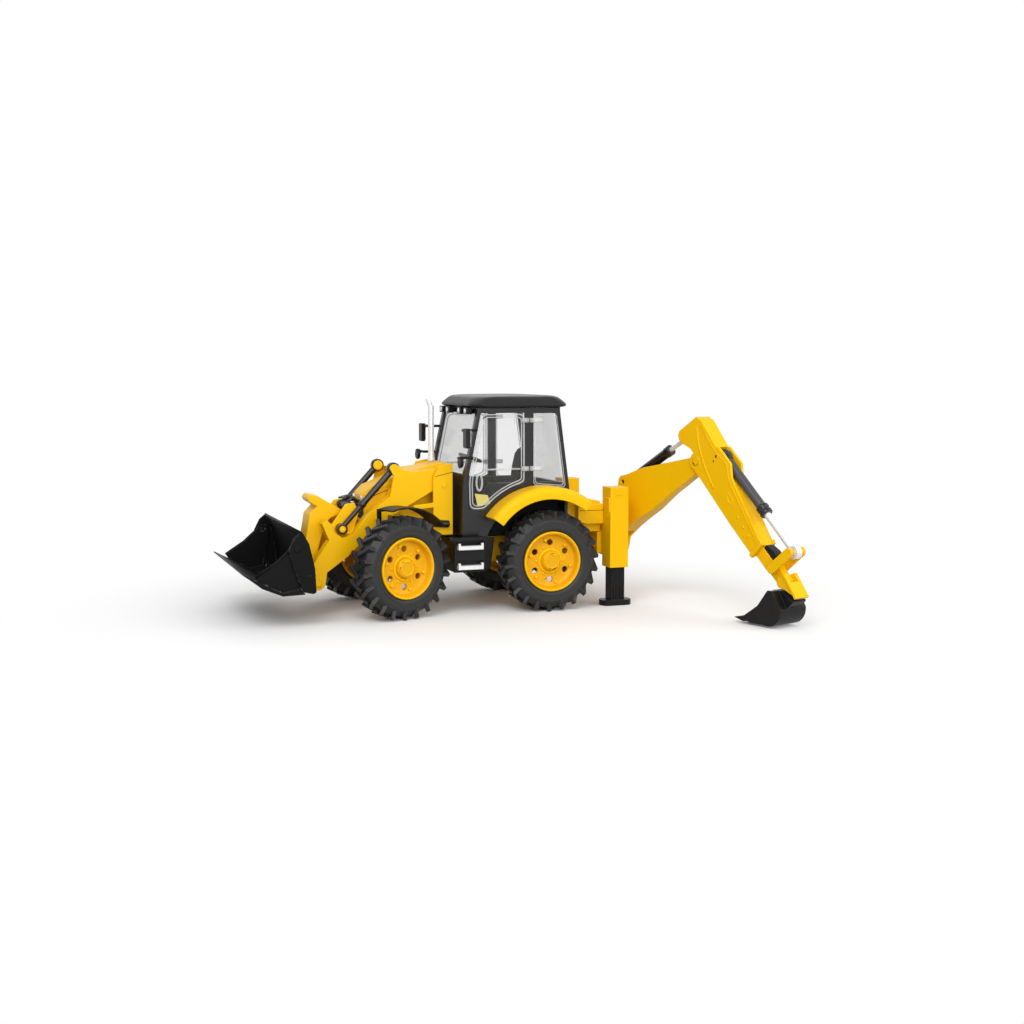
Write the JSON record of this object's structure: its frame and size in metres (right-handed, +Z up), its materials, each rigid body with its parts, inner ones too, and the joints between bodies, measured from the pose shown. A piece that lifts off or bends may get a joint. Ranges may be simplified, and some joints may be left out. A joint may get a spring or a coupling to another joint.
{
  "type": "toy backhoe loader",
  "caption": "Toy backhoe loader with a clam front bucket, steered wheels, opening cab doors, a slewing hoe arm with an extending dipper, and stabiliser legs.",
  "frame": {"origin": "on the floor, in the middle plane, under the rear axle", "axes": "+X forward to the front bucket, +Y to the machine's left, +Z up"},
  "size_m": [0.4442, 0.3204, 0.1914],
  "materials": {
    "yellow_plastic": "satin moulded plastic",
    "black_plastic": "satin moulded plastic",
    "silver_plastic": "silver lacquer",
    "grey_plastic": "satin moulded plastic",
    "clear_plastic": "clear moulded plastic",
    "tyre": "matte soft plastic"
  },
  "bodies": {
    "machine": {"chassis": "yellow_plastic", "hood": "yellow_plastic", "front_grille": "black_plastic", "head_lamps": "silver_plastic", "loader_tower": "yellow_plastic", "exhaust": "silver_plastic", "cab_floor": "black_plastic", "cab_frame": "black_plastic", "cab_glass": "clear_plastic", "roof": "black_plastic", "work_lamps": "black_plastic", "mirrors": "black_plastic", "seat": "black_plastic", "steering_console": "black_plastic", "rear_fenders": "yellow_plastic", "side_steps": "black_plastic", "step_treads": "silver_plastic", "rear_deck": "yellow_plastic", "rear_frame": "yellow_plastic", "front_axle": "yellow_plastic", "rear_axle": "yellow_plastic"},
    "left_door": {"door_left": "clear_plastic"},
    "right_door": {"door_right": "clear_plastic"},
    "left_knuckle": {"knuckle_left": "yellow_plastic", "mudguard_left": "black_plastic"},
    "right_knuckle": {"knuckle_right": "yellow_plastic", "mudguard_right": "black_plastic"},
    "front_left_wheel": {"rim_front_left": "yellow_plastic", "tyre_front_left": "tyre"},
    "front_right_wheel": {"rim_front_right": "yellow_plastic", "tyre_front_right": "tyre"},
    "rear_left_wheel": {"rim_rear_left": "yellow_plastic", "tyre_rear_left": "tyre"},
    "rear_right_wheel": {"rim_rear_right": "yellow_plastic", "tyre_rear_right": "tyre"},
    "loader_arm": {"loader_arms": "yellow_plastic", "tilt_cylinders": "black_plastic"},
    "lift_barrel": {"lift_barrels": "black_plastic"},
    "lift_rod": {"lift_rods": "silver_plastic"},
    "front_bucket": {"bucket_carrier": "yellow_plastic", "bucket_back": "black_plastic"},
    "clam": {"bucket_clam": "black_plastic"},
    "slew_post": {"kingpost": "yellow_plastic"},
    "hoe_boom": {"boom": "yellow_plastic"},
    "ram_barrel": {"dipper_barrel": "black_plastic"},
    "ram_rod": {"dipper_rod": "silver_plastic"},
    "hoe_dipper": {"dipper": "yellow_plastic", "bucket_barrel": "grey_plastic"},
    "extension": {"dipper_extension": "yellow_plastic"},
    "curl_rod": {"bucket_rod": "silver_plastic"},
    "curl_link": {"tipping_link": "yellow_plastic"},
    "rear_bucket": {"quick_hitch": "yellow_plastic", "hoe_bucket": "black_plastic"},
    "left_leg": {"leg_left": "black_plastic"},
    "right_leg": {"leg_right": "black_plastic"}
  },
  "joints": [
    {"name": "rear_left_spin", "type": "hinge", "parent": "machine", "child": "rear_left_wheel", "pos_m": [0, 0.0623, 0.0448], "axis": [0, 1, 0], "continuous": true},
    {"name": "rear_right_spin", "type": "hinge", "parent": "machine", "child": "rear_right_wheel", "pos_m": [0, -0.0623, 0.0448], "axis": [0, 1, 0], "continuous": true},
    {"name": "steer_left", "type": "hinge", "parent": "machine", "child": "left_knuckle", "pos_m": [0.139, 0.052, 0.0448], "axis": [0, 0, 1], "range_deg": [-38, 2]},
    {"name": "steer_right", "type": "hinge", "parent": "machine", "child": "right_knuckle", "pos_m": [0.139, -0.052, 0.0448], "axis": [0, 0, 1], "range_deg": [-38, 2]},
    {"name": "front_left_spin", "type": "hinge", "parent": "left_knuckle", "child": "front_left_wheel", "pos_m": [0.13582, 0.0618, 0.0448], "axis": [-0.309, 0.9511, 0], "continuous": true},
    {"name": "front_right_spin", "type": "hinge", "parent": "right_knuckle", "child": "front_right_wheel", "pos_m": [0.14218, -0.0618, 0.0448], "axis": [-0.309, 0.9511, 0], "continuous": true},
    {"name": "left_door_hinge", "type": "hinge", "parent": "machine", "child": "left_door", "pos_m": [0.0135, 0.053, 0.14], "axis": [0, 0, 1], "range_deg": [0, 32]},
    {"name": "right_door_hinge", "type": "hinge", "parent": "machine", "child": "right_door", "pos_m": [0.0135, -0.053, 0.14], "axis": [0, 0, -1], "range_deg": [0, 32]},
    {"name": "loader_lift", "type": "hinge", "parent": "machine", "child": "loader_arm", "pos_m": [0.088, 0, 0.12], "axis": [0, -1, 0], "range_deg": [-10, 46]},
    {"name": "lift_swing", "type": "hinge", "parent": "machine", "child": "lift_barrel", "pos_m": [0.088, 0, 0.077], "axis": [0, -1, 0], "range_deg": [-20, 50]},
    {"name": "lift_stroke", "type": "slide", "parent": "lift_barrel", "child": "lift_rod", "axis": [0.993, 0, 0.1178], "range_m": [-0.012, 0.04]},
    {"name": "bucket_tilt", "type": "hinge", "parent": "loader_arm", "child": "front_bucket", "pos_m": [0.201, 0, 0.03], "axis": [0, 1, 0], "range_deg": [0, 95]},
    {"name": "clam_open", "type": "hinge", "parent": "front_bucket", "child": "clam", "pos_m": [0.2285, 0, 0.0666], "axis": [0, -1, 0], "range_deg": [0, 55]},
    {"name": "slew", "type": "hinge", "parent": "machine", "child": "slew_post", "pos_m": [-0.088, 0, 0.06], "axis": [0, 0, 1], "range_deg": [-7, 153]},
    {"name": "boom_lift", "type": "hinge", "parent": "slew_post", "child": "hoe_boom", "pos_m": [-0.0918, 0.01243, 0.048], "axis": [0.9563, 0.2924, 0], "range_deg": [-36, 20]},
    {"name": "dipper_swing", "type": "hinge", "parent": "hoe_boom", "child": "hoe_dipper", "pos_m": [-0.12414, 0.1182, 0.1338], "axis": [0.9563, 0.2924, 0], "range_deg": [-46, 28]},
    {"name": "ram_swing", "type": "hinge", "parent": "hoe_boom", "child": "ram_barrel", "pos_m": [-0.09636, 0.02735, 0.1098], "axis": [0.9563, 0.2924, 0], "range_deg": [-6, 6]},
    {"name": "ram_stroke", "type": "slide", "parent": "ram_barrel", "child": "ram_rod", "axis": [-0.2533, 0.8285, 0.4994], "range_m": [-0.02, 0.03]},
    {"name": "dipper_reach", "type": "slide", "parent": "hoe_dipper", "child": "extension", "axis": [-0.2138, 0.6994, -0.682], "range_m": [0, 0.028]},
    {"name": "bucket_curl", "type": "hinge", "parent": "extension", "child": "rear_bucket", "pos_m": [-0.153, 0.2126, 0.03805], "axis": [0.9563, 0.2924, 0], "range_deg": [-30, 75]},
    {"name": "link_swing", "type": "hinge", "parent": "extension", "child": "curl_link", "pos_m": [-0.15031, 0.20379, 0.0487], "axis": [0.9563, 0.2924, 0], "range_deg": [-20, 40]},
    {"name": "curl_stroke", "type": "slide", "parent": "extension", "child": "curl_rod", "axis": [-0.2138, 0.6994, -0.682], "range_m": [-0.018, 0.01]},
    {"name": "left_leg_lift", "type": "slide", "parent": "machine", "child": "left_leg", "axis": [0, 0, 1], "range_m": [0, 0.028]},
    {"name": "right_leg_lift", "type": "slide", "parent": "machine", "child": "right_leg", "axis": [0, 0, 1], "range_m": [0, 0.028]}
  ],
  "couplings": [
    {"joint": "steer_right", "follows": "steer_left", "ratio": 1},
    {"joint": "lift_swing", "follows": "loader_lift", "ratio": 0.7906},
    {"joint": "lift_stroke", "follows": "loader_lift", "m_per_rad": 0.03929},
    {"joint": "ram_swing", "follows": "dipper_swing", "ratio": 0.014},
    {"joint": "ram_stroke", "follows": "dipper_swing", "m_per_rad": -0.02545},
    {"joint": "link_swing", "follows": "bucket_curl", "ratio": 0.45},
    {"joint": "curl_stroke", "follows": "bucket_curl", "m_per_rad": -0.01077}
  ]
}
